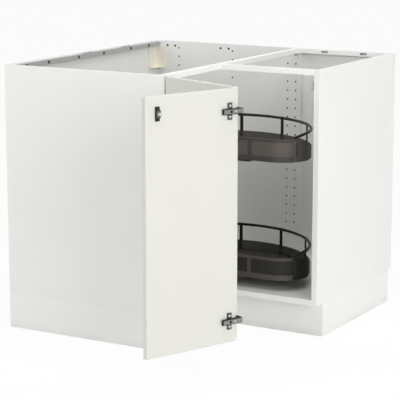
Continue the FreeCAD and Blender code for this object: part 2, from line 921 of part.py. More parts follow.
catch_profile = [
    catch_place(0) + up * (catch_root_height / 2),
    catch_place(0) - up * (catch_root_height / 2),
    catch_place(catch_boss_length) - up * (catch_mouth_height / 2),
    catch_place(catch_boss_length) + up * (catch_mouth_height / 2),
]
catch_boss = Part.Face(Part.Wire(polygon(catch_profile))).extrude(point(catch_base_width, 0))
catch_boss.translate(point(-catch_base_width / 2, 0))
plunger_bore = facetted(
    round_a_rod(plunger_diameter + 2 * plunger_clearance, bearing_sides),
    catch_place(0),
    catch_place(catch_boss_length),
    bearing_sides,
)
catch_body = joined([catch_base, catch_boss]).cut(plunger_bore)
plunger = rod(plunger_diameter, catch_place(plunger_travel), catch_place(plunger_reach))
strike_face = catch_face + plunger_reach + strike_gap
strike_z = spread(catch_z, strike_height)
strike_stop = block(
    (inner_far - strike_length, inner_far), (strike_face, strike_face + strike_plate), strike_z
)
strike_wing = block(
    (inner_far - strike_plate, inner_far), (strike_face, strike_face + strike_length), strike_z
)
keep("catch_strike", [joined([strike_stop, strike_wing])])

# The doors and all that they carry, swung open about the main hinge pins

def swung_open(solids):
    moved = [solid.copy() for solid in solids]
    for solid in moved:
        solid.rotate(main_pin, up, -open_angle)
    return moved


door_pieces = {
    "hinged_door": [hinged_door],
    "main_hinge_cups": [hinge_cup(main_cup_y, z) for z in hinge_heights],
    "main_hinge_pins": [cup_pin(z) for z in hinge_heights],
    "fold_hinge_cups": [hinge_cup(fold_cup_y, z) for z in hinge_heights],
    "fold_hinge_tongues": [fold_tongue(z) for z in hinge_heights],
    "free_door": [free_door],
    "fold_hinge_plates": [fold_wing(z) for z in hinge_heights],
    "fold_hinge_arms": [fold_arm(z) for z in hinge_heights],
    "fold_hinge_pins": [fold_pin_rod(z) for z in hinge_heights],
    "fold_hinge_screws": [screw for z in hinge_heights for screw in fold_screws(z)],
    "catch_body": [catch_body],
    "catch_plunger": [plunger],
}
for name, solids in door_pieces.items():
    keep(name, swung_open(solids))

# The finished part stands with its origin on the floor at the middle of its box

whole = Part.makeCompound([solid for solids in nodes.values() for solid in solids])
box = whole.optimalBoundingBox(False, False)
origin = point((box.XMin + box.XMax) / 2, (box.YMin + box.YMax) / 2, box.ZMin)

os.makedirs("parts", exist_ok=True)
for name, solids in nodes.items():
    shape = solids[0].copy() if len(solids) == 1 else Part.makeCompound(solids)
    shape.translate(-origin)
    shape.exportStep(f"parts/{name}.step")
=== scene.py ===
import json
import math

import bmesh
import bpy
from mathutils import Matrix, Vector


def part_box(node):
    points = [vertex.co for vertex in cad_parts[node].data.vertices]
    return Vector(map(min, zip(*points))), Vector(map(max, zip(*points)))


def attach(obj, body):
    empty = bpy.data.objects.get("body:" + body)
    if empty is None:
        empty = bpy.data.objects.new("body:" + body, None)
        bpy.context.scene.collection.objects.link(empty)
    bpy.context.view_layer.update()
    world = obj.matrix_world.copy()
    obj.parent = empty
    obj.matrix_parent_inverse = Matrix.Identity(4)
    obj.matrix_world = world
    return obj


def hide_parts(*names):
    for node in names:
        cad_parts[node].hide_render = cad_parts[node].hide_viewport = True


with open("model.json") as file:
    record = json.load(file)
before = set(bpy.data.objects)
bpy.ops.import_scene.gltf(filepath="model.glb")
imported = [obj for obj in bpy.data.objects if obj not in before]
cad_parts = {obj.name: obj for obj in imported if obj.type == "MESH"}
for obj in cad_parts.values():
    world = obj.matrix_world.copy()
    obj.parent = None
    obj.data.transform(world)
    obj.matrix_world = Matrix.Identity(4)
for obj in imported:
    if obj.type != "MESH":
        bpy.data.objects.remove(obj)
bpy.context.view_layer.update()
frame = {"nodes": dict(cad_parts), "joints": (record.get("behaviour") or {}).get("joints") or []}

# Carcass boards: particle board covered in white melamine, sawn and edge-banded in the works.
# The side panels are drilled for shelf pins, and the bottoms are dowelled between them.
# The foil has a very fine tooth and is a little uneven in tone, and handling leaves faint scuffs.


def effect(name, inputs, outputs):
    """An empty shader group with plain number sockets."""
    group = bpy.data.node_groups.new(name, "ShaderNodeTree")
    for label, value in inputs.items():
        socket = group.interface.new_socket(label, in_out="INPUT", socket_type="NodeSocketFloat")
        socket.default_value = value
    for label in outputs:
        group.interface.new_socket(label, in_out="OUTPUT", socket_type="NodeSocketFloat")
    return group, group.nodes.new("NodeGroupInput"), group.nodes.new("NodeGroupOutput")


def feed(tree, socket, value):
    """Links another node's output to a socket, or writes a plain value on it."""
    if isinstance(value, bpy.types.NodeSocket):
        tree.links.new(value, socket)
    else:
        socket.default_value = value


def node(tree, kind, settings=None, **values):
    """A node with its settings, and its sockets linked or filled in."""
    made = tree.nodes.new(kind)
    for label, value in (settings or {}).items():
        setattr(made, label, value)
    for label, value in values.items():
        feed(tree, made.inputs[label.replace("_", " ")], value)
    return made


def maths(tree, operation, *values):
    """A number worked out from linked or plain numbers."""
    made = node(tree, "ShaderNodeMath", {"operation": operation})
    for socket, value in zip(made.inputs, values):
        feed(tree, socket, value)
    return made.outputs["Value"]


def where(tree, kind="Object"):
    """The place of a point on the surface, or its normal, in the piece's own frame."""
    return node(tree, "ShaderNodeTexCoord").outputs[kind]


def ramp(tree, source, low, high, to_low=0.0, to_high=1.0):
    """A source value taken from one range to another, and kept inside it."""
    made = node(tree, "ShaderNodeMapRange", Value=source,
                From_Min=low, From_Max=high, To_Min=to_low, To_Max=to_high)
    return made.outputs["Result"]


mottle, mottle_in, mottle_out = effect("uneven_tone", {"Patch": 4.0, "Tooth": 900.0}, ["Tone", "Height"])
patches = node(mottle, "ShaderNodeTexNoise", Vector=where(mottle), Scale=mottle_in.outputs["Patch"],
               Detail=4.0, Roughness=0.55)
mottle.links.new(ramp(mottle, patches.outputs["Fac"], 0.32, 0.68), mottle_out.inputs["Tone"])
tooth = node(mottle, "ShaderNodeTexNoise", Vector=where(mottle), Scale=mottle_in.outputs["Tooth"],
             Detail=2.0, Roughness=0.6)
mottle.links.new(tooth.outputs["Fac"], mottle_out.inputs["Height"])

scuffs, scuffs_in, scuffs_out = effect("handling_scuffs", {"Size": 7.0, "Amount": 0.5}, ["Scuff"])
stretched = node(scuffs, "ShaderNodeMapping", Vector=where(scuffs),
                 Scale=(1.0, 1.0, 9.0), Rotation=(0.5, 0.35, 0.2))
streaks = node(scuffs, "ShaderNodeTexNoise", Vector=stretched.outputs["Vector"],
               Scale=scuffs_in.outputs["Size"], Detail=8.0, Roughness=0.7, Distortion=0.6)
rubbed = ramp(scuffs, streaks.outputs["Fac"], 0.60, 0.74)
scuffs.links.new(maths(scuffs, "MULTIPLY", rubbed, scuffs_in.outputs["Amount"]), scuffs_out.inputs["Scuff"])


def surface(name, roughness, metallic=0.0, specular=0.5, bump=0.05, bump_depth=0.0004):
    """A material with its shader and a bump that waits for a height."""
    material = bpy.data.materials.new(name)
    material.use_nodes = True
    tree = material.node_tree
    shader = tree.nodes["Principled BSDF"]
    for label, value in (("Roughness", roughness), ("Metallic", metallic), ("Specular IOR Level", specular)):
        shader.inputs[label].default_value = value
    relief = node(tree, "ShaderNodeBump", Strength=bump, Distance=bump_depth)
    tree.links.new(relief.outputs["Normal"], shader.inputs["Normal"])
    return material, tree, shader, relief


def use(tree, group, **values):
    """A shared effect placed in a material with its own values."""
    made = tree.nodes.new("ShaderNodeGroup")
    made.node_tree = group
    for label, value in values.items():
        made.inputs[label].default_value = value
    return made.outputs


def blend(tree, factor, first, second):
    """A colour between two colours, or between a linked colour and another, by a mask."""
    made = node(tree, "ShaderNodeMix", {"data_type": "RGBA"})
    tree.links.new(factor, made.inputs[0])
    for socket, colour in ((made.inputs[6], first), (made.inputs[7], second)):
        feed(tree, socket, (*colour, 1.0) if isinstance(colour, tuple) else colour)
    return made.outputs[2]


def foil(name, light, dark, roughness, tooth_size=900.0, tooth_bump=0.05):
    """Smooth factory foil: two close tones, a fine tooth, and scuffs that show as duller streaks."""
    material, tree, shader, relief = surface(name, roughness, bump=tooth_bump)
    tone = use(tree, mottle, Patch=3.5, Tooth=tooth_size)
    worn = use(tree, scuffs, Size=5.0, Amount=0.6)
    clean = blend(tree, tone["Tone"], dark, light)
    scuff_darkens, scuff_dulls = 0.955, 0.16
    smudged = tuple(part * scuff_darkens for part in dark)
    tree.links.new(blend(tree, worn["Scuff"], clean, smudged), shader.inputs["Base Color"])
    dulled = ramp(tree, worn["Scuff"], 0.0, 1.0, roughness, roughness + scuff_dulls)
    tree.links.new(dulled, shader.inputs["Roughness"])
    tree.links.new(tone["Height"], relief.inputs["Height"])
    return material


def dress(material, *names):
    """Gives a finish to the solids that are shown as they are."""
    for name in names:
        frame["nodes"][name].data.materials.clear()
        frame["nodes"][name].data.materials.append(material)


board_white = foil("melamine_white", (0.813, 0.820, 0.793), (0.793, 0.800, 0.771), roughness=0.42)
dress(board_white, "left_side_panel", "far_side_panel", "right_side_panel")
dress(board_white, "main_bottom_panel", "annex_bottom_panel")

# Drilled holes: each holds a near-black core, painted shade for the dark inside of the hole.
# Each core is dished below the face, with a dark ring on the foil round the hole that widens the painted
# shade.


def grained(name, roughness, dark, light, patch, tooth_size,
            scuffed=None, scuff_size=24.0, scuff_amount=0.6, **more):
    """A finish in two close tones with a grain, rubbed in streaks to a third tone where one is given."""
    material, tree, shader, relief = surface(name, roughness, **more)
    grain = use(tree, mottle, Patch=patch, Tooth=tooth_size)
    tone = blend(tree, grain["Tone"], dark, light)
    if scuffed:
        worn = use(tree, scuffs, Size=scuff_size, Amount=scuff_amount)
        tone = blend(tree, worn["Scuff"], tone, scuffed)
    tree.links.new(tone, shader.inputs["Base Color"])
    tree.links.new(grain["Height"], relief.inputs["Height"])
    return material


# Near-black tone: painted shade for the inside of the drilled holes, not the colour of bare board.
hole_shade_dark = grained("painted_hole_shade", 0.9, (0.014, 0.011, 0.008), (0.036, 0.029, 0.021),
                     patch=160.0, tooth_size=900.0, bump=0.6, bump_depth=0.001)


def baked(shape, name):
    """The finished mesh of a shape, with its faces turned outward."""
    bmesh.ops.recalc_face_normals(shape, faces=shape.faces)
    mesh = bpy.data.meshes.new(name)
    shape.to_mesh(mesh)
    shape.free()
    return mesh


def lathe(name, profile, steps=24):
    """A turned solid from (radius, height) pairs that start and end on its axis."""
    shape = bmesh.new()
    turns = [2 * math.pi * step / steps for step in range(steps)]
    rings = []
    for radius, z in profile:
        if radius == 0:
            rings.append([shape.verts.new((0, 0, z))])
        else:
            rings.append([shape.verts.new((radius * math.cos(t), radius * math.sin(t), z)) for t in turns])
    for lower, upper in zip(rings, rings[1:]):
        for step in range(steps):
            after = (step + 1) % steps
            face = [lower[step % len(lower)], lower[after % len(lower)]]
            face += [upper[after % len(upper)], upper[step % len(upper)]]
            shape.faces.new(list(dict.fromkeys(face)))
    return baked(shape, name)


def add(name, mesh, material, body):
    """Puts a mesh in the scene with its finish, on the body that carries it."""
    piece = bpy.data.objects.new(name, mesh)
    bpy.context.scene.collection.objects.link(piece)
    mesh.materials.append(material)
    for polygon in mesh.polygons:
        polygon.use_smooth = True
    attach(piece, body)
    return piece


def many(name, mesh, places, outward):
    """Copies of a turned mesh at several places, their axes along one direction, as one mesh."""
    whole = bmesh.new()
    turn = Vector(outward).to_track_quat("Z", "Y").to_matrix().to_4x4()
    for spot in places:
        copy = mesh.copy()
        copy.transform(Matrix.Translation(spot) @ turn)
        whole.from_mesh(copy)
        bpy.data.meshes.remove(copy)
    result = bpy.data.meshes.new(name)
    whole.to_mesh(result)
    whole.free()
    return result


def hole_core(radius, rim, depth):
    """Painted shade for a drilled hole: a dark ring on the foil round it and a dished middle below it."""
    return lathe("hole_core", [(0, -depth), (radius, -depth), (radius, 0), (rim, 0), (rim * 0.97, 0.0001),
                               (radius * 0.8, 0.0001), (radius * 0.6, -0.0006), (0, -0.001)], 12)


panel_low, panel_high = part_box("far_side_panel")
first_row, pitch, fitting_row = 0.0235, 0.032, 0.016
row_tops = [panel_high.z - first_row - pitch * row for row in range(20)]
left_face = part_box("left_side_panel")[1].y
right_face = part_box("right_side_panel")[0].x
back_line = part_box("right_side_panel")[1].y
pin_core = hole_core(radius=0.0021, rim=0.0031, depth=0.0105)
far_columns = ((0.100, 6), (0.325, 6), (0.550, 20), (0.582, 20))
far_spots = [Vector((panel_low.x + reach, panel_low.y, z))
             for reach, rows in far_columns for z in row_tops[:rows]]
short_columns = (0.100, 0.550)
left_spots = [Vector((panel_low.x + reach, left_face, z)) for reach in short_columns for z in row_tops[:4]]
right_spots = [Vector((right_face, back_line - reach, z)) for reach in short_columns for z in row_tops[:4]]
fitting_reaches = (0.051, 0.083, 0.276, 0.309, 0.532)
fitting_z = panel_high.z - fitting_row
fitting_spots = [Vector((panel_low.x + reach, panel_low.y, fitting_z)) for reach in fitting_reaches]
fitting_core = hole_core(radius=0.0034, rim=0.0042, depth=0.0105)
for name, core, spots, outward in (
    ("far_hole_cores", pin_core, far_spots, (0, -1, 0)),
    ("left_hole_cores", pin_core, left_spots, (0, 1, 0)),
    ("right_hole_cores", pin_core, right_spots, (-1, 0, 0)),
    ("fitting_hole_cores", fitting_core, fitting_spots, (0, -1, 0)),
):
    add(name, many(name, core, spots, outward), hole_shade_dark, "cabinet")

# Back boards: thin fibreboard with a white print, slid in behind the bottoms.
# The print is duller than the melamine and shows a faint fibre.
back_white = grained("printed_back", 0.62, (0.800, 0.803, 0.780), (0.830, 0.833, 0.810),
                     patch=9.0, tooth_size=420.0, bump=0.08)
dress(back_white, "main_back_panel", "annex_back_panel")

# Top rails: folded sheet steel, screwed between the side panels to keep the open top square.
# The front ones and the short rear one are powder coated white, with a slight orange peel.
rail_white = grained("white_powder_coat", 0.36, (0.865, 0.868, 0.850), (0.890, 0.893, 0.878),
                     patch=14.0, tooth_size=650.0, bump=0.12)
dress(rail_white, "long_front_rail", "annex_front_rail", "annex_rear_rail")

# Rear rail: folded sheet steel left galvanised, with a zinc spangle that shifts its tone and its gloss.
# Dark discs sit in its round holes, painted shade for the dark inside of the holes.
spangle, spangle_in, spangle_out = effect("zinc_spangle", {"Size": 120.0}, ["Tone", "Edge"])
cells = node(spangle, "ShaderNodeTexVoronoi", {"feature": "F1"}, Vector=where(spangle),
             Scale=spangle_in.outputs["Size"])
shade = node(spangle, "ShaderNodeSeparateColor", Color=cells.outputs["Color"])
spangle.links.new(shade.outputs["Red"], spangle_out.inputs["Tone"])
spangle.links.new(cells.outputs["Distance"], spangle_out.inputs["Edge"])
zinc, zinc_tree, zinc_shader, zinc_relief = surface("galvanised_sheet", 0.5, metallic=0.35, bump=0.05)
flower = use(zinc_tree, spangle, Size=140.0)
zinc_tone = blend(zinc_tree, flower["Tone"], (0.415, 0.425, 0.415), (0.455, 0.465, 0.455))
zinc_tree.links.new(zinc_tone, zinc_shader.inputs["Base Color"])
zinc_tree.links.new(ramp(zinc_tree, flower["Tone"], 0.0, 1.0, 0.54, 0.46), zinc_shader.inputs["Roughness"])
zinc_tree.links.new(flower["Edge"], zinc_relief.inputs["Height"])
dress(zinc, "rear_rail")
rail_low, rail_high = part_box("rear_rail")
hole_rise = 0.0075
hole_z = rail_low.z + hole_rise
middle_y = (rail_low.y + rail_high.y) / 2
shade_disc_spots = [Vector((rail_high.x, middle_y + side * reach, hole_z))
              for reach in (0.078, 0.257, 0.380) for side in (-1, 1)]
# Painted shade for the rail's holes: a dark flanged disc set in each hole.
shade_disc_mesh = lathe("rail_hole_shade_disc", [(0, -0.005), (0.0041, -0.005), (0.0041, 0.0), (0.0058, 0.0), (0.0056, 0.0005),
                           (0.0049, 0.0009), (0.0018, 0.0007), (0, 0.0004)], 16)
shade_disc_black = grained("painted_rail_hole_shade", 0.55, (0.016, 0.016, 0.016), (0.028, 0.028, 0.028),
                     patch=60.0, tooth_size=1400.0, bump=0.2)
shade_disc_pieces = add("rail_hole_shade_set", many("rail_hole_shade_set", shade_disc_mesh, shade_disc_spots, (1, 0, 0)), shade_disc_black, "cabinet")

# Corner bracket: moulded ivory plastic, screwed into the rear corner under the rail.
# Its faces have a spark-eroded grain.
ivory = grained("ivory_moulding", 0.55, (0.800, 0.775, 0.672), (0.840, 0.815, 0.712),
                patch=22.0, tooth_size=1500.0, bump=0.25)
dress(ivory, "corner_bracket")

# Plinth boards: narrow foiled boards clipped to the legs, the outer two flush with the panels.
# Their lower edge picks up floor dust.
plinth_white, plinth_tree, plinth_shader, plinth_relief = surface("plinth_foil", 0.44, bump=0.05)
tone = use(plinth_tree, mottle, Patch=4.0, Tooth=900.0)
height = node(plinth_tree, "ShaderNodeSeparateXYZ", Vector=where(plinth_tree)).outputs["Z"]
dusty = maths(plinth_tree, "MULTIPLY", ramp(plinth_tree, height, 0.030, 0.002), tone["Tone"])
clean = blend(plinth_tree, tone["Tone"], (0.808, 0.815, 0.791), (0.830, 0.837, 0.813))
plinth_tone = blend(plinth_tree, dusty, clean, (0.70, 0.69, 0.665))
plinth_tree.links.new(plinth_tone, plinth_shader.inputs["Base Color"])
plinth_tree.links.new(tone["Height"], plinth_relief.inputs["Height"])
dress(plinth_white, "plinth_left", "plinth_main_front", "plinth_annex_front", "plinth_right")

# Legs and plinth clips: black-grey moulded plastic under the bottoms, set once with their screw feet.
# The moulding is matt, with a coarse grain and paler scuffs.
leg_grey = grained("leg_moulding", 0.6, (0.038, 0.038, 0.040), (0.055, 0.055, 0.057),
                   patch=30.0, tooth_size=1100.0, scuffed=(0.12, 0.12, 0.12), scuff_amount=0.7, bump=0.3)
dress(leg_grey, "leg_sockets", "plinth_clips")
feet_low, feet_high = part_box("leg_feet")
pad_reach = 0.0259
left_x, right_x = feet_low.x + pad_reach, feet_high.x - pad_reach
near_y, far_y = feet_low.y + pad_reach, feet_high.y - pad_reach
leg_inset = 0.045
inner_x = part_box("plinth_main_front")[0].x - leg_inset
inner_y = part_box("plinth_annex_front")[1].y + leg_inset
foot_profile = [(0, 0), (0.0262, 0), (0.0272, 0.0010), (0.0272, 0.0055), (0.0255, 0.0078), (0.0160, 0.0086)]
thread_start, thread_pitch = 0.0100, 0.0024
for turn_up in range(12):
    low = thread_start + thread_pitch * turn_up
    foot_profile += [(0.0134, low), (0.0146, low + 0.0009), (0.0146, low + 0.0014)]
foot_profile += [(0.0134, 0.0392), (0.0104, 0.0400), (0.0104, 0.0790), (0, 0.0795)]
foot_spots = [Vector((x, y, 0)) for x, y in ((left_x, near_y), (inner_x, near_y), (left_x, far_y),
                                             (inner_x, inner_y), (right_x, inner_y), (right_x, far_y))]
screw_foot = lathe("threaded_foot", foot_profile)
feet = add("threaded_feet", many("threaded_feet", screw_foot, foot_spots, (0, 0, 1)), leg_grey, "cabinet")
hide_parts("leg_feet")

# Carousel post: a drawn steel tube in a pressed foot, coated grey and screwed to the bottom.
# Handling and the trays' sleeves leave brighter streaks on it.
post_grey = grained("post_coating", 0.38, (0.20, 0.20, 0.198), (0.25, 0.25, 0.247),
                    patch=25.0, tooth_size=1200.0, metallic=0.3, bump=0.1,
                    scuffed=(0.42, 0.42, 0.41), scuff_size=30.0, scuff_amount=1.0)
dress(post_grey, "carousel_base", "carousel_post")
axis = (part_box("carousel_post")[0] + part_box("carousel_post")[1]) / 2

# Screws: zinc-plated pan heads with a cross recess, on the foot's plate and on the hinges.
# Each set stands where the solids have their plain heads.
brushed, brushed_in, brushed_out = effect("turned_lines", {"Fine": 60.0}, ["Line"])
drawn = node(brushed, "ShaderNodeMapping", Vector=where(brushed), Scale=(1.0, 1.0, 40.0))
lines = node(brushed, "ShaderNodeTexNoise", Vector=drawn.outputs["Vector"], Scale=brushed_in.outputs["Fine"],
             Detail=3.0)
brushed.links.new(ramp(brushed, lines.outputs["Fac"], 0.3, 0.7), brushed_out.inputs["Line"])


def metal(name, dark, light, smooth, dull, fine=60.0):
    """Plated steel with fine drawn lines that shift its tone and its gloss."""
    material, tree, shader, relief = surface(name, smooth, metallic=1.0, bump=0.06, bump_depth=0.0002)
    line = use(tree, brushed, Fine=fine)
    tree.links.new(blend(tree, line["Line"], dark, light), shader.inputs["Base Color"])
    tree.links.new(ramp(tree, line["Line"], 0.0, 1.0, dull, smooth), shader.inputs["Roughness"])
    tree.links.new(line["Line"], relief.inputs["Height"])
    return material


screw_zinc = metal("screw_zinc", (0.56, 0.56, 0.54), (0.72, 0.72, 0.70), smooth=0.28, dull=0.42)


def crosshead(name, radius, height):
    """A pan head with a rounded rim, and a cross sunk into its top."""
    head = lathe(name, [(0, 0), (radius, 0), (radius, height * 0.45), (radius * 0.9, height * 0.78),
                        (radius * 0.62, height * 0.97), (0, height)], 20)
    arm, width, depth = radius * 0.55, radius * 0.13, height * 0.6
    shape = bmesh.new()
    for turn in (0, 90):
        bar = bmesh.ops.create_cube(shape, size=1.0)["verts"]
        bmesh.ops.scale(shape, vec=(2 * arm, 2 * width, depth * 2), verts=bar)
        bmesh.ops.translate(shape, vec=(0, 0, height + depth * 0.2), verts=bar)
        bmesh.ops.rotate(shape, cent=(0, 0, 0), matrix=Matrix.Rotation(math.radians(turn), 3, "Z"), verts=bar)
    cross = bpy.data.meshes.new(name + "_cross")
    shape.to_mesh(cross)
    shape.free()
    solid = bpy.data.objects.new(name, head)
    tool = bpy.data.objects.new(name + "_tool", cross)
    for item in (solid, tool):
        bpy.context.scene.collection.objects.link(item)
    sink = solid.modifiers.new("sink", "BOOLEAN")
    sink.operation = "DIFFERENCE"
    sink.object = tool
    sink.use_self = True
    bpy.context.view_layer.update()
    done = bpy.data.meshes.new_from_object(solid.evaluated_get(bpy.context.evaluated_depsgraph_get()))
    for item in (solid, tool):
        bpy.data.objects.remove(item)
    return done


pan_head = crosshead("pan_head", radius=0.0040, height=0.0018)
base_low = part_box("base_screws")[0].z
screw_circle = 0.05
quarter = [math.radians(45 + 90 * step) for step in range(4)]
base_spots = [Vector((axis.x + screw_circle * math.cos(t), axis.y + screw_circle * math.sin(t), base_low))
              for t in quarter]
base_mesh = many("base_screw_heads", pan_head, base_spots, (0, 0, 1))
base_heads = add("base_screw_heads", base_mesh, screw_zinc, "cabinet")
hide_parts("base_screws")

# Trays: pressed sheet with two tall straight walls at the notch, powder coated a warm dark grey.
# The coat has a fine sand texture, with paler dust on what faces up. The lower tray's coat is painted darker
# as shade, both are painted paler inside the round wall as light there, and the lower tray's dust is laid
# heavier, partly real dust and partly painted light on its shaded floor.
dust, dust_in, dust_out = effect("settled_dust", {"Amount": 0.3}, ["Dust"])
normal = node(dust, "ShaderNodeNewGeometry").outputs["Normal"]
facing_up = node(dust, "ShaderNodeSeparateXYZ", Vector=normal).outputs["Z"]
specks = node(dust, "ShaderNodeTexNoise", Vector=where(dust), Scale=55.0, Detail=6.0, Roughness=0.7)
patchy = ramp(dust, specks.outputs["Fac"], 0.20, 0.70)
lying = maths(dust, "MULTIPLY", ramp(dust, facing_up, 0.75, 1.0), patchy)
dust.links.new(maths(dust, "MULTIPLY", lying, dust_in.outputs["Amount"]), dust_out.inputs["Dust"])


def vector_maths(tree, operation, *values):
    """A vector, or the number of a dot product, worked out from linked or plain vectors."""
    made = node(tree, "ShaderNodeVectorMath", {"operation": operation})
    for socket, value in zip(made.inputs, values):
        feed(tree, socket, value)
    return made.outputs["Value" if operation == "DOT_PRODUCT" else "Vector"]


# Mask of the round wall's inside, where the coat is painted paler as light.
inside, _, inside_out = effect("inner_wall_light_mask", {}, ["Inside"])
from_axis = vector_maths(inside, "SUBTRACT", where(inside), axis)
level = vector_maths(inside, "MULTIPLY", from_axis, (1.0, 1.0, 0.0))
radial = vector_maths(inside, "NORMALIZE", level)
outward = vector_maths(inside, "DOT_PRODUCT", radial, where(inside, "Normal"))
inside.links.new(ramp(inside, outward, -0.55, -0.85), inside_out.inputs["Inside"])


def tray_coat(name, dark, light, rubbed, inside_painted_light, dusty):
    """Sand-textured powder coat in two close tones, rubbed paler in places, painted paler inside the round
    wall as light there, with dust on what faces up."""
    material, tree, shader, relief = surface(name, 0.55, specular=0.22, bump=0.35, bump_depth=0.0003)
    sand = use(tree, mottle, Patch=12.0, Tooth=1700.0)
    fallen = use(tree, dust, Amount=dusty)
    worn = use(tree, scuffs, Size=14.0, Amount=0.5)
    inner_light = use(tree, inside)
    plain = blend(tree, inner_light["Inside"], blend(tree, sand["Tone"], dark, light), inside_painted_light)
    coat = blend(tree, worn["Scuff"], plain, rubbed)
    tree.links.new(blend(tree, fallen["Dust"], coat, (0.24, 0.23, 0.22)), shader.inputs["Base Color"])
    tree.links.new(ramp(tree, sand["Height"], 0.3, 0.7, 0.52, 0.66), shader.inputs["Roughness"])
    tree.links.new(sand["Height"], relief.inputs["Height"])
    return material


upper_coat = tray_coat("upper_tray_coat", (0.108, 0.094, 0.085), (0.125, 0.110, 0.100),
                       rubbed=(0.150, 0.138, 0.130), inside_painted_light=(0.130, 0.115, 0.105), dusty=0.32)
# The lower tray's coat is darker as painted shade; its heavier dust is partly painted light on its shaded
# floor.
lower_coat_painted_shade = tray_coat("lower_tray_coat_painted_shade", (0.0190, 0.0181, 0.0154), (0.0245, 0.0233, 0.0201),
                       rubbed=(0.045, 0.042, 0.038), inside_painted_light=(0.140, 0.131, 0.118), dusty=0.45)
dress(upper_coat, "upper_tray")
dress(lower_coat_painted_shade, "lower_tray")

# Tray trims: a moulded frame pressed over the two front walls, along the top, the foot and one rib each.
# It is matt, darker than the upper tray's coat and paler than the lower one's.
trim_grey = grained("trim_moulding", 0.62, (0.050, 0.043, 0.038), (0.061, 0.053, 0.047),
                    patch=26.0, tooth_size=1200.0, bump=0.25,
                    scuffed=(0.10, 0.09, 0.08), scuff_size=22.0, scuff_amount=0.5)
dress(trim_grey, "upper_tray_trim", "lower_tray_trim")

# Seam strips: a near-black bead in the upright groove where each front wall ends, painted shade for the
# groove's dark line.
# It has rounded edges and stands a little proud of the wall.
groove_shade_black = grained("seam_groove_shade", 0.55, (0.016, 0.015, 0.014), (0.026, 0.025, 0.023),
                     patch=50.0, tooth_size=1400.0, bump=0.2)
corner_place = Vector((0.232379, 0.060, 0.0))
corner_radius = 0.090
seam_turn = math.radians(-32)
seam_span = (0.0184, 0.0656)


def tube(shape, rings):
    """Faces round a run of equal rings, closed at both ends."""
    for lower, upper in zip(rings, rings[1:]):
        for step in range(len(lower)):
            after = (step + 1) % len(lower)
            shape.faces.new((lower[step], lower[after], upper[after], upper[step]))
    shape.faces.new(rings[0][::-1])
    shape.faces.new(rings[-1])


def bead(places, low, high):
    """Upright strips with a rounded outer face, one at each (place, outward) pair, as one mesh."""
    half, depth, proud = 0.0019, 0.0008, 0.0004
    section = [(-half * 0.5, -depth), (half * 0.5, -depth), (half * 0.5, 0), (half, 0.0001),
               (half * 0.7, proud), (-half * 0.7, proud), (-half, 0.0001), (-half * 0.5, 0)]
    shape = bmesh.new()
    for place, outward in places:
        side = Vector((-outward.y, outward.x, 0))
        rings = []
        for end in (Vector((0, 0, low)), Vector((0, 0, high))):
            rings.append([shape.verts.new(place + side * a + outward * b + end) for a, b in section])
        tube(shape, rings)
    return baked(shape, "seam_strip")


seam_out = Vector((math.cos(seam_turn), math.sin(seam_turn), 0))
seam_place = corner_place + seam_out * corner_radius
for level in ("upper", "lower"):
    foot = Vector((axis.x, axis.y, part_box(f"{level}_tray")[0].z))
    far_place = Vector((-seam_place.y, -seam_place.x, 0))
    far_out = Vector((-seam_out.y, -seam_out.x, 0))
    strips = bead([(foot + seam_place, seam_out), (foot + far_place, far_out)], *seam_span)
    add(f"{level}_seam_strips", strips, groove_shade_black, f"{level}_tray")

# Hubs, collars and post cap: black moulded nylon, which the trays turn on.
# It is matt, with paler rubs.
nylon = grained("black_nylon", 0.5, (0.012, 0.0115, 0.010), (0.020, 0.019, 0.017),
                patch=26.0, tooth_size=1300.0, scuffed=(0.05, 0.05, 0.048), scuff_size=26.0, bump=0.2)
dress(nylon, "upper_tray_hub", "lower_tray_hub", "tray_collars", "post_cap")

# Guard posts: flat steel straps hooked over the round wall's rim, with a knuckle round the rail.
# They are coated black above the rim and dark grey on the foot inside the wall.
strap_black, strap_tree, strap_shader, strap_relief = surface(
    "guard_post_coat", 0.45, specular=0.25, bump=0.2)
grain = use(strap_tree, mottle, Patch=40.0, Tooth=1500.0)
height = node(strap_tree, "ShaderNodeSeparateXYZ", Vector=where(strap_tree)).outputs["Z"]
lower_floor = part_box("lower_tray")[0].z
floor_to_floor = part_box("upper_tray")[0].z - lower_floor
above_floor = maths(strap_tree, "MODULO", maths(strap_tree, "SUBTRACT", height, lower_floor), floor_to_floor)
foot_mask = ramp(strap_tree, above_floor, 0.0350, 0.0344)
strap_tone = blend(strap_tree, grain["Tone"], (0.011, 0.0105, 0.0095), (0.018, 0.0175, 0.016))
strap_colour = blend(strap_tree, foot_mask, strap_tone, (0.050, 0.045, 0.041))
strap_tree.links.new(strap_colour, strap_shader.inputs["Base Color"])
strap_tree.links.new(grain["Height"], strap_relief.inputs["Height"])
dress(strap_black, "upper_tray_guard_posts", "lower_tray_guard_posts")

# Guard rails: round steel bar bent round the back of each tray. Its ends turn the pan's corners
# and come down on the front walls. Black coated, a little glossier than the posts that hold it.
bar_black = grained("black_bar_coat", 0.34, (0.010, 0.0098, 0.009), (0.017, 0.0165, 0.015),
                    patch=30.0, tooth_size=1500.0, specular=0.25, bump=0.12)
ring_radius = 0.3285
bar_height = 0.092
corner_bend = 0.0885
end_turn = math.radians(54.0)
end_drop = 0.0120
end_tilt = math.asin(end_drop / (corner_bend * (1 - math.cos(end_turn))))
bar_radius = 0.0048


def bent_bar(name, path, radius, sides=14):
    """A round bar swept along a path of points, closed at its ends."""
    shape = bmesh.new()
    turns = [2 * math.pi * step / sides for step in range(sides)]
    rings = []
    for index, spot in enumerate(path):
        ahead = (path[min(index + 1, len(path) - 1)] - path[max(index - 1, 0)]).normalized()
        side = ahead.cross(Vector((0, 0, 1))).normalized()
        other = side.cross(ahead)
        reaches = [side * math.cos(t) + other * math.sin(t) for t in turns]
        rings.append([shape.verts.new(spot + reach * radius) for reach in reaches])
    tube(shape, rings)
    return baked(shape, name)


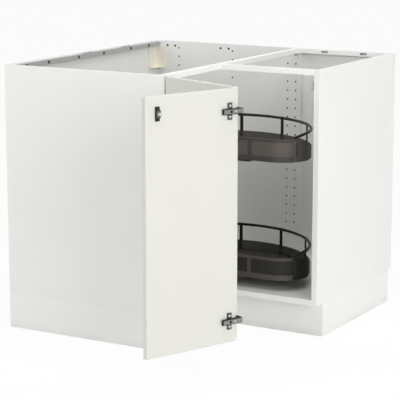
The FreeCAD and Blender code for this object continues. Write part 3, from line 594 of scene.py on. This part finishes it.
def rail_path(floor):
    """From one front wall up round its corner, along the ring, and down on the other front wall."""
    start = math.atan2(corner_place.y, corner_place.x)
    top = Vector((ring_radius * math.cos(start), ring_radius * math.sin(start), bar_height))
    tilt = Matrix.Rotation(end_tilt, 3, Vector((math.sin(start), -math.cos(start), 0)))
    arm_steps, ring_steps = 24, 96
    arm = []
    for step in range(arm_steps + 1):
        turn = start - end_turn * (arm_steps - step) / arm_steps
        flat = corner_place + Vector((math.cos(turn), math.sin(turn), 0)) * corner_bend
        flat.z = bar_height
        arm.append(top + tilt @ (flat - top))
    sweep = math.radians(270) - 2 * start
    ring = []
    for step in range(1, ring_steps):
        turn = start + sweep * step / ring_steps
        ring.append(Vector((ring_radius * math.cos(turn), ring_radius * math.sin(turn), bar_height)))
    far_arm = [Vector((-spot.y, -spot.x, spot.z)) for spot in reversed(arm)]
    foot = Vector((axis.x, axis.y, floor))
    return [foot + spot for spot in arm + ring + far_arm]


for level in ("upper", "lower"):
    floor_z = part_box(f"{level}_tray")[0].z
    name = f"{level}_guard_bar"
    bar = add(name, bent_bar(name, rail_path(floor_z), bar_radius), bar_black, f"{level}_tray")
    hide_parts(f"{level}_tray_guard_rail")

# Doors: particle board wrapped in a warm white foil, softly broken at every edge.
# The foil is satin, with a tooth a little coarser than the carcass boards have.
door_white = foil("door_foil", (0.671, 0.668, 0.616), (0.657, 0.655, 0.602),
                  roughness=0.40, tooth_size=700.0, tooth_bump=0.07)
dress(door_white, "hinged_door", "free_door")

# Hinges: pressed and nickel-plated steel. Cups and straps sit in the hinged door, wing plates and arms
# on the left panel and on the free door, with the pins between them.
rim_faces, rim_faces_in, rim_faces_out = effect("darker_rim_faces", {"Across X": 1.0, "Across Y": 0.0}, ["Edge"])
facing = node(rim_faces, "ShaderNodeSeparateXYZ", Vector=where(rim_faces, "Normal")).outputs
share_x = maths(rim_faces, "MULTIPLY", facing["X"], rim_faces_in.outputs["Across X"])
across = maths(rim_faces, "MULTIPLY_ADD", facing["Y"], rim_faces_in.outputs["Across Y"], share_x)
rim_faces.links.new(ramp(rim_faces, maths(rim_faces, "ABSOLUTE", across), 0.96, 0.76), rim_faces_out.inputs["Edge"])


def pressed_nickel(name, face, dark, light, edge):
    """Nickel plate on pressed steel: drawn lines on the face, and duller, darker faces along its edges."""
    material, tree, shader, relief = surface(name, 0.24, metallic=1.0, bump=0.06, bump_depth=0.0002)
    line = use(tree, brushed, Fine=70.0)
    rim_band = use(tree, rim_faces, **{"Across X": face.x, "Across Y": face.y})
    plate = blend(tree, line["Line"], dark, light)
    tree.links.new(blend(tree, rim_band["Edge"], plate, edge), shader.inputs["Base Color"])
    tree.links.new(ramp(tree, rim_band["Edge"], 0.0, 1.0, 0.24, 0.46), shader.inputs["Roughness"])
    tree.links.new(line["Line"], relief.inputs["Height"])
    return material


swing = next(joint for joint in frame["joints"] if joint["name"] == "door_swing")
open_turn = Matrix.Rotation(math.radians(swing["range_deg"][0]), 3, "Z")
off_panel = Vector((0, 1, 0))
inward = open_turn @ off_panel
pin_steel = metal("pin_steel", (0.30, 0.30, 0.29), (0.44, 0.44, 0.43), smooth=0.20, dull=0.30, fine=90.0)
arm_tones = ((0.235, 0.235, 0.220), (0.330, 0.330, 0.310), (0.040, 0.040, 0.036))
plate_tones = ((0.100, 0.100, 0.092), (0.165, 0.165, 0.153), (0.030, 0.030, 0.027))
for kind, face in (("main", off_panel), ("fold", inward)):
    dress(pressed_nickel(f"{kind}_arm_nickel", face, *arm_tones), f"{kind}_hinge_arms")
    dress(pressed_nickel(f"{kind}_plate_nickel", face, *plate_tones), f"{kind}_hinge_plates")
cup_nickel = pressed_nickel("cup_nickel", open_turn @ Vector((-1, 0, 0)), *arm_tones)
dress(cup_nickel, "main_hinge_cups", "fold_hinge_cups", "fold_hinge_tongues")
dress(pin_steel, "main_hinge_pins", "fold_hinge_pins")

half_plate, screw_reach, half_head = 0.025, 0.016, 0.0009
plate_low, plate_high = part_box("fold_hinge_plates")
hinge_heights = [plate_low.z + half_plate, plate_high.z - half_plate]
for kind, way, body in (("main", off_panel, "cabinet"), ("fold", inward, "free_door")):
    low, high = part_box(f"{kind}_hinge_screws")
    foot = (low + high) / 2 - way * half_head
    spots = [Vector((foot.x, foot.y, z + side * screw_reach)) for z in hinge_heights for side in (-1, 1)]
    heads = add(f"{kind}_screw_heads", many(f"{kind}_screw_heads", pan_head, spots, way), screw_zinc, body)
    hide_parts(f"{kind}_hinge_screws")

# Adjusting screws: a blackened clamp screw in the middle of each hinge arm, which holds it on its plate,
# and a plain zinc one nearer the pin, which sets the overlay.
black_screw = metal("blackened_screw", (0.012, 0.012, 0.012), (0.030, 0.030, 0.029), smooth=0.40, dull=0.55)
clamp_head = crosshead("clamp_head", radius=0.0042, height=0.0010)
setting_head = crosshead("setting_head", radius=0.0028, height=0.0008)
along = open_turn @ Vector((1, 0, 0))
main_low, main_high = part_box("main_hinge_plates")
plate = (plate_low + plate_high) / 2
main_plate = (main_low + main_high) / 2
main_rise, half_thick, fold_rise, sunk = 0.012, 0.0015, 0.009, 0.0002
main_face = main_plate + Vector((0, main_high.y - main_plate.y + main_rise - sunk, 0))
fold_face = plate + inward * (half_thick + fold_rise - sunk)
for kind, face, run, way, body in (
    ("main", main_face, Vector((-1, 0, 0)), off_panel, "cabinet"),
    ("fold", fold_face, along, inward, "free_door"),
):
    for use_name, head, finish, reach in (
        ("clamp", clamp_head, black_screw, 0.002),
        ("setting", setting_head, screw_zinc, -0.015),
    ):
        name = f"{kind}_{use_name}_screws"
        middle = face + run * reach
        spots = [Vector((middle.x, middle.y, z)) for z in hinge_heights]
        add(name, many(name, head, spots, way), finish, body)

# Catch: a black moulded base on the free door, its boss paler grey where it stands furthest from the door,
# with a pale sprung plunger, and a white strike on the right panel, greyed as painted shade, that presses it
# as the door shuts.
catch_black, catch_tree, catch_shader, catch_relief = surface("catch_moulding", 0.5, specular=0.3, bump=0.2)
grain = use(catch_tree, mottle, Patch=40.0, Tooth=1500.0)
catch_tone = blend(catch_tree, grain["Tone"], (0.009, 0.0088, 0.0082), (0.015, 0.0147, 0.0138))
standing = vector_maths(catch_tree, "DOT_PRODUCT", where(catch_tree), inward)
plunger_low, plunger_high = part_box("catch_plunger")
plunger_middle = (plunger_low + plunger_high) / 2
middle_off_door, half_plunger = 0.012, 0.008
door_plane = plunger_middle.dot(inward) - middle_off_door
boss_mask = ramp(catch_tree, standing, door_plane + 0.0080, door_plane + 0.0099)
catch_colour = blend(catch_tree, boss_mask, catch_tone, (0.130, 0.128, 0.118))
catch_tree.links.new(catch_colour, catch_shader.inputs["Base Color"])
catch_tree.links.new(grain["Height"], catch_relief.inputs["Height"])
dress(catch_black, "catch_body")
plunger_pale = grained("plunger_moulding", 0.42, (0.50, 0.49, 0.45), (0.58, 0.57, 0.53),
                       patch=60.0, tooth_size=1500.0, bump=0.1)
end_gap = 0.0005
nose = lathe("plunger_nose", [(0, end_gap), (0.0049, end_gap), (0.0049, 0.0118), (0.0047, 0.0134),
                              (0.0040, 0.0148), (0.0027, 0.0157), (0, 0.0160)])
plunger_foot = plunger_middle - inward * half_plunger
plunger = add("sprung_plunger", many("sprung_plunger", nose, [plunger_foot], inward), plunger_pale, "catch")
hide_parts("catch_plunger")
# The strike's white is greyed: painted shade, to match the shaded panel round it.
strike_greyed_shade = grained("strike_moulding_painted_shade", 0.45, (0.600, 0.602, 0.588), (0.640, 0.642, 0.628),
                       patch=50.0, tooth_size=1300.0, bump=0.1)
dress(strike_greyed_shade, "catch_strike")

# Studio: a white paper floor that stays white to the camera and still takes the soft shadow under the plinth.
# One broad lamp stands at the front left and a stronger one at the right, with a weaker one overhead.


def shown(tree):
    """1 for rays that end in the picture, also mirrored or through glass, and 0 for light on the object."""
    path = node(tree, "ShaderNodeLightPath").outputs
    mirrored = maths(tree, "MAXIMUM", path["Is Camera Ray"], path["Is Glossy Ray"])
    return maths(tree, "MAXIMUM", mirrored, path["Is Transmission Ray"])


sweep = bpy.data.meshes.new("studio_floor")
shape = bmesh.new()
bmesh.ops.create_grid(shape, x_segments=8, y_segments=8, size=40.0)
shape.to_mesh(sweep)
shape.free()
floor = bpy.data.objects.new("studio_floor", sweep)
bpy.context.scene.collection.objects.link(floor)
below_feet = 0.0005
floor.location.z = -below_feet
paper = bpy.data.materials.new("studio_paper")
paper.use_nodes = True
tree = paper.node_tree
matt = tree.nodes["Principled BSDF"]
matt.inputs["Base Color"].default_value = (0.93, 0.93, 0.93, 1.0)
matt.inputs["Roughness"].default_value = 0.9
glow = node(tree, "ShaderNodeEmission", Strength=1.0)
glow_share = 0.92
lit = node(tree, "ShaderNodeMixShader", Fac=maths(tree, "MULTIPLY", shown(tree), glow_share))
tree.links.new(matt.outputs["BSDF"], lit.inputs[1])
tree.links.new(glow.outputs["Emission"], lit.inputs[2])
tree.links.new(lit.outputs["Shader"], tree.nodes["Material Output"].inputs["Surface"])
sweep.materials.append(paper)

scene = bpy.context.scene
scene.view_settings.view_transform = "Standard"
sky = bpy.data.worlds.new("studio_air")
scene.world = sky
sky.use_nodes = True
tree = sky.node_tree
soft = tree.nodes["Background"]
soft.inputs["Color"].default_value = (1.0, 1.0, 1.0, 1.0)
soft.inputs["Strength"].default_value = 0.52
white = node(tree, "ShaderNodeBackground", Color=(1.0, 1.0, 1.0, 1.0), Strength=1.0)
either = node(tree, "ShaderNodeMixShader", Fac=shown(tree))
tree.links.new(soft.outputs["Background"], either.inputs[1])
tree.links.new(white.outputs["Background"], either.inputs[2])
tree.links.new(either.outputs["Shader"], tree.nodes["World Output"].inputs["Surface"])

aim = Vector((0, 0, 0.45))
for name, spot, watts, width in (
    ("left_lamp", (-3.2, -6.0, 3.0), 95.0, 3.0),
    ("right_lamp", (5.0, -2.9, 2.0), 152.0, 3.0),
    ("top_lamp", (0.7, -0.3, 3.6), 40.0, 2.0),
):
    lamp = bpy.data.lights.new(name, "AREA")
    lamp.energy = watts
    lamp.size = width
    holder = bpy.data.objects.new(name, lamp)
    scene.collection.objects.link(holder)
    holder.location = spot
    holder.rotation_euler = (aim - Vector(spot)).to_track_quat("-Z", "Y").to_euler()

camera = bpy.data.cameras.new("photo_camera")
camera.sensor_width = 36.0
camera.lens = 146.22
eye = bpy.data.objects.new("photo_camera", camera)
scene.collection.objects.link(eye)
eye.location = (2.6780, -4.4845, 1.4666)
look_down, look_round = 11.195, 29.893
eye.rotation_euler = (math.radians(90 - look_down), 0, math.radians(look_round))
scene.camera = eye
